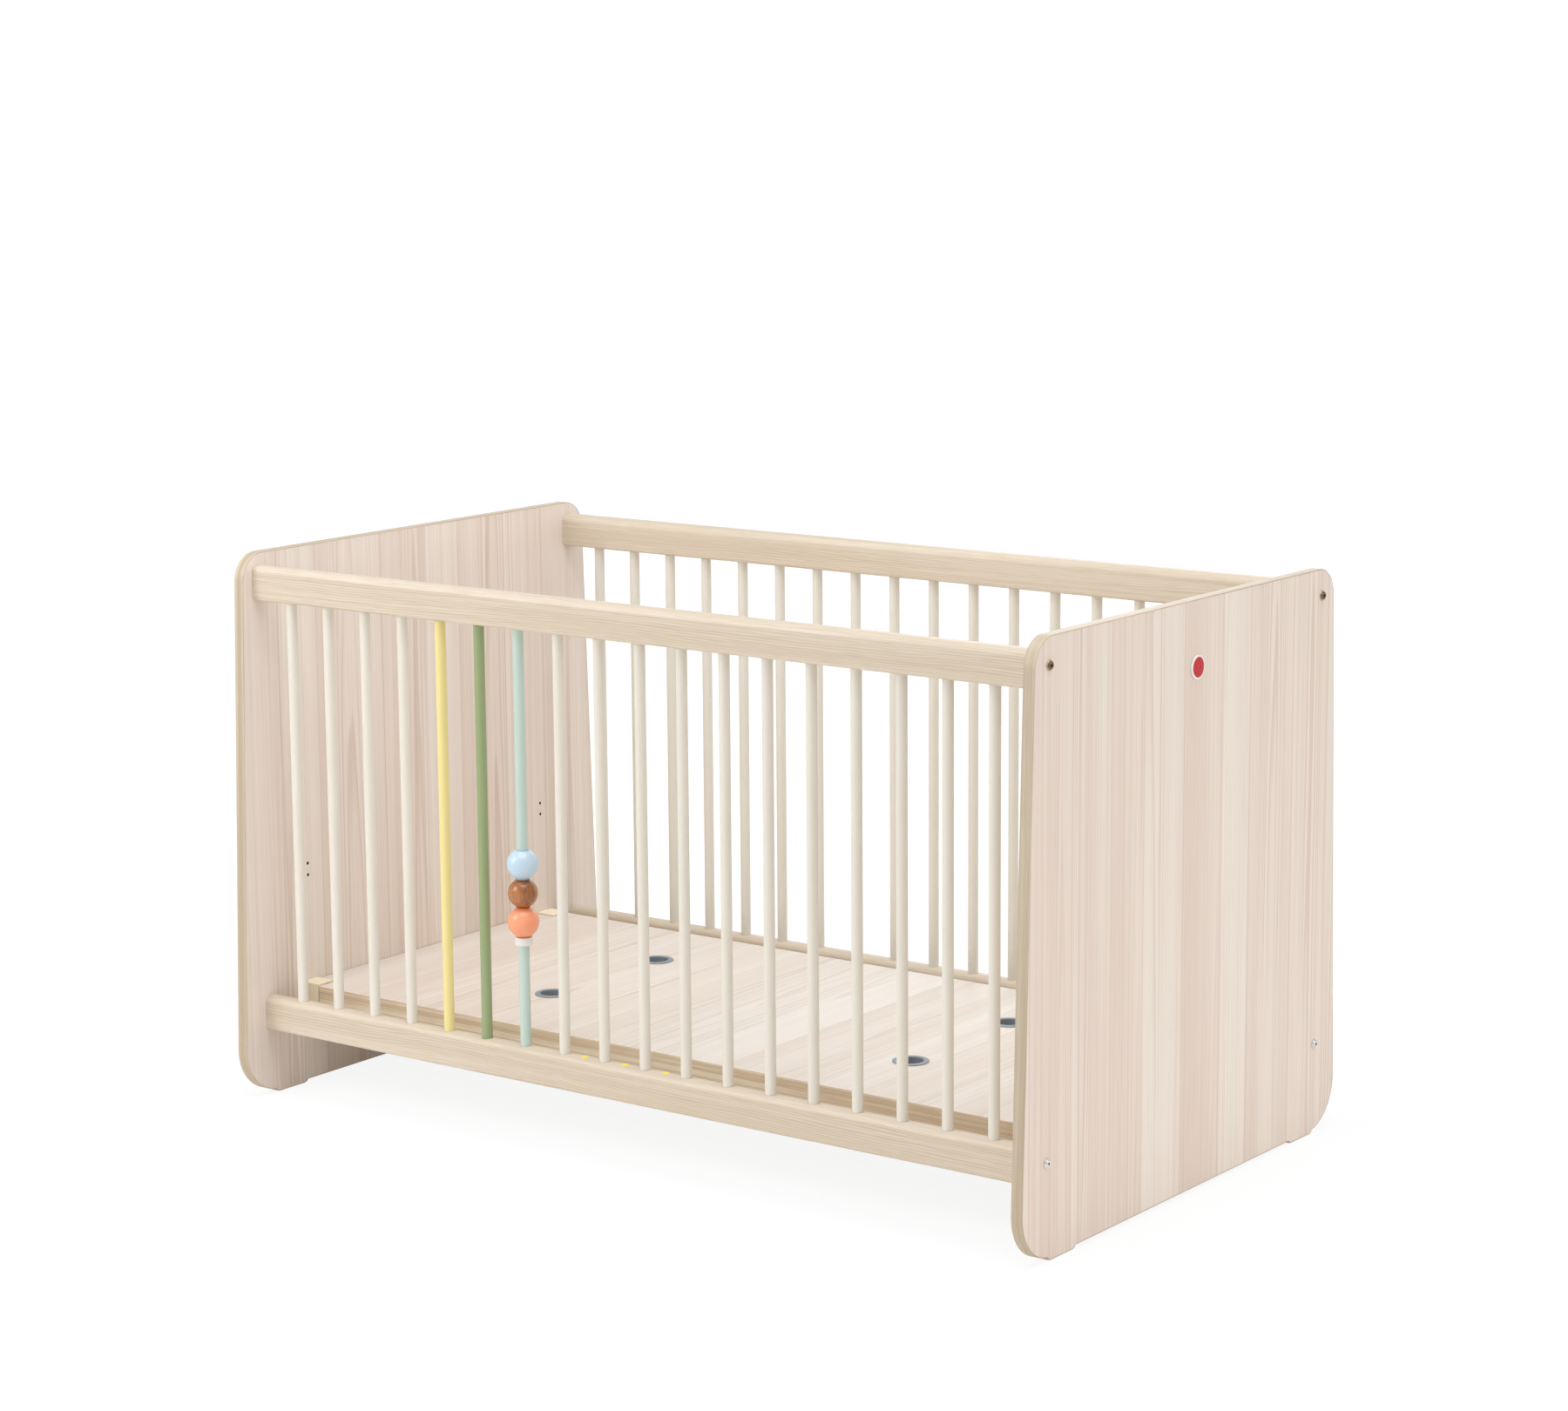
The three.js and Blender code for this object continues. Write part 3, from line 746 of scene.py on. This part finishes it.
def base_board():
    """The board that the mattress lies on, notched round the four brackets."""
    overlap = BRACKET_LEDGE - NOTCH_CLEARANCE
    x, y = board_high.x, board_high.y
    notch_x = bracket_low.x + overlap
    notch_y = y - (bracket_high.y - bracket_low.y) + overlap
    corner = [(x, notch_y), (notch_x, notch_y), (notch_x, y)]
    outline = [
        *corner,
        *[(-px, py) for px, py in reversed(corner)],
        *[(-px, -py) for px, py in corner],
        *[(px, -py) for px, py in reversed(corner)],
    ]
    mesh = mesh_of(pushed(outline, board_low.z, board_high.z, "z"))
    holes = bmesh.new()
    for _, place in vent_places():
        rod(holes, "z", VENT_HOLE / 2, board_low.z - MM, board_high.z + MM, place, 64)
    mesh = eased(cut(mesh, holes), 0.8 * MM, 3)
    for face in mesh.polygons:
        face.material_index = 0 if abs(face.normal.z) > 0.75 else 1
    paints = ["board", "board_band"]
    finish_piece(mesh, "base_board_panel", paints, "base", "board_laminate", "base_board")


def vent_ring(name, place):
    """A plastic sleeve with a domed flange, pressed into a vent hole."""
    top = board_high.z
    bottom = top - 22 * MM
    outer, opening, wall = VENT_RING / 2, VENT_OPENING / 2, VENT_HOLE / 2 - 0.3 * MM
    flange, edge = 2.0 * MM, 1.2 * MM
    rim = arc((outer - 0.7 * MM, top + 0.75 * MM), 0.65 * MM, -90, 60, 5)
    dome = arc((opening + edge, top + flange - edge), edge, 90, 180, 6)
    tube = [(opening, bottom), (opening + edge, bottom), (wall, bottom + 2 * MM)]
    shape = turned([(wall, top + 0.1 * MM), *rim, *dome, *tube], 72)
    bmesh.ops.translate(shape, verts=shape.verts, vec=(*place, 0))
    finish_piece(mesh_of(shape), name + "_ring", ["vent"], "base", "vent_plastic")


def bracket(node):
    """The corner block of the CAD model with its edges rounded."""
    shape = bmesh.new()
    shape.from_mesh(frame["nodes"][node].data)
    bmesh.ops.remove_doubles(shape, verts=shape.verts, dist=1e-6)
    bmesh.ops.dissolve_limit(shape, angle_limit=radians(1), verts=shape.verts, edges=shape.edges)
    mesh = eased(mesh_of(shape), 0.9 * MM, 3, 60)
    finish_piece(mesh, node + "_block", ["bracket"], "base", "beige_plastic", node)


# ---- Fasteners, plugs and badge ----
def bolt(node):
    """A flanged bolt with a hexagon socket, turned about X. Its head faces away from the cot."""
    low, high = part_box(node)
    sign = 1 if high.x > 0 else -1
    face = sign * panel_high.x
    head_top = (high.x - face) if sign > 0 else (face - low.x)
    shank_end = -((face - low.x) if sign > 0 else (high.x - face))
    shank, flange, head = BOLT_SHANK / 2, BOLT_FLANGE / 2, BOLT_HEAD / 2
    seat, flange_top = 0.3 * MM, 1.3 * MM
    tip, flange_edge, head_edge = 0.8 * MM, 0.35 * MM, 1.1 * MM
    profile = [
        (0, shank_end),
        (shank - tip, shank_end),
        (shank, shank_end + tip),
        (shank, seat),
        *arc((flange - flange_edge, (seat + flange_top) / 2), flange_edge, -80, 80, 5),
        (head + 0.5 * MM, flange_top + 0.1 * MM),
        (head, flange_top + 0.6 * MM),
        *arc((head - head_edge, head_top - head_edge), head_edge, 0, 100, 7),
        (head - 2.0 * MM, head_top - 0.35 * MM),
        (0, head_top - 0.45 * MM),
    ]
    mesh = mesh_of(turned(profile, 48, closed=False))
    hexagon = arc((0, 0), BOLT_SOCKET / 2 / cos(pi / 6), 0, 300, 5)
    mesh = cut(mesh, pushed(hexagon, head_top - BOLT_SOCKET_DEPTH, head_top + MM, "z"))
    # The upper bolts' flange gets a lighter plating than their head: a painted highlight.
    platings = ["rim", "bronze"] if "_upper_" in node else ["nickel", "nickel"]
    # The faces inside the hexagon socket take the near-black plating: painted shade in the recess.
    for side in mesh.polygons:
        if side.center.z > flange_top:
            side.material_index = 2 if side.center.xy.length < BOLT_SOCKET / 2 else 1
    turn = Matrix.Rotation(sign * pi / 2, 4, "Y")
    place = (face, (low.y + high.y) / 2, (low.z + high.z) / 2)
    mesh.transform(Matrix.Translation(place) @ turn)
    finish_piece(mesh, node + "_body", [*platings, "recess"], "root", "bolt_steel", node)


def rail_plugs():
    """Three small plugs in the front lower rail, each midway between two bars."""
    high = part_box("front_lower_rail")[1]
    places = [place for _, place in bar_places("front")]
    middle = len(places) // 2
    for number in range(3):
        left, right = places[middle - 2 + number], places[middle - 1 + number]
        dome = arc((PLUG / 2 - PLUG_PROUD, high.z), PLUG_PROUD, 0, 90, 4)
        foot = [(0, high.z - PLUG_DEPTH), (PLUG / 2, high.z - PLUG_DEPTH)]
        shape = turned([*foot, *dome, (0, high.z + PLUG_PROUD)], 40, closed=False)
        between = ((left[0] + right[0]) / 2, left[1], 0)
        bmesh.ops.translate(shape, verts=shape.verts, vec=between)
        finish_piece(mesh_of(shape), f"rail_plug_{number + 1}", ["plug"], "root", "plug_plastic")


def round_badge():
    """A plain round badge: a white plate with a slightly domed red middle."""
    low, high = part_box("round_badge")
    radius, height = (high.y - low.y) / 2, high.x - low.x
    place = (low.x, (low.y + high.y) / 2, (low.z + high.z) / 2)
    edge, rim = 0.8 * MM, 2.6 * MM
    step, dome = 0.3 * MM, 0.6 * MM
    plate_top = height - step - dome
    shoulder = arc((radius - edge, plate_top - edge), edge, 0, 90, 5)
    plate = [(0, 0), (radius, 0), *shoulder, (0, plate_top)]
    lens_radius = radius - rim
    lens = [(0, plate_top), (lens_radius, plate_top)]
    for x, y in arc((0, 0), 1, 0, 90, 6):
        lens.append((lens_radius * x, plate_top + step + dome * y))
    for name, profile, paint_name in (("plate", plate, "badge_rim"), ("lens", lens, "badge")):
        mesh = mesh_of(turned(profile, 72, closed=False))
        mesh.transform(Matrix.Translation(place) @ Matrix.Rotation(pi / 2, 4, "Y"))
        stands_for = ["round_badge"] if name == "plate" else []
        name = "round_badge_" + name
        finish_piece(mesh, name, [paint_name], "root", "badge_plastic", *stands_for)


def make_floor():
    """Two sheets, one just under the other.

    Only the camera sees the upper one, which is white mostly by its own glow, with a faint shadow.
    Only light meets the lower one, a plain pale sheet that the cot gets its bounced light from.
    """
    seen = ("floor", 0.2 * MM, (0.12, 0.12, 0.12, 1), (0.882, 1.0))
    unseen = ("floor_bounce", 2 * MM, (0.9, 0.88, 0.85, 1), None)
    for name, depth, shade, glow in (seen, unseen):
        shape = bmesh.new()
        bmesh.ops.create_grid(shape, x_segments=8, y_segments=8, size=400)
        floor = bpy.data.objects.new(name, mesh_of(shape))
        floor.location.z = -depth
        floor.data.materials.append(floor_paint(name, shade, glow))
        floor.visible_camera = name == "floor"
        for kind in ("diffuse", "glossy", "transmission", "volume_scatter", "shadow"):
            setattr(floor, "visible_" + kind, name != "floor")
        bpy.context.scene.collection.objects.link(floor)


make_camera()
make_studio()
make_floor()
end_panel("right_end_panel", 1)
end_panel("left_end_panel", -1)
for end_side in ("front", "back"):
    rail(end_side + "_top_rail", end_side, opens_up=False)
    rail(end_side + "_lower_rail", end_side, opens_up=True)
make_bars()
bead("coral_bead", "coral", "coral_lacquer", "coral_bead")
bead("walnut_bead", "walnut", "walnut_lacquer", "walnut_bead")
bead("blue_bead", "blue", "blue_lacquer", "blue_bead")
bead_collar()
base_board()
for vent_name, vent_place in vent_places():
    vent_ring(vent_name, vent_place)
for node_name in sorted(frame["nodes"]):
    if node_name.endswith("_bracket"):
        bracket(node_name)
    elif node_name.endswith("_bolt"):
        bolt(node_name)
rail_plugs()
round_badge()
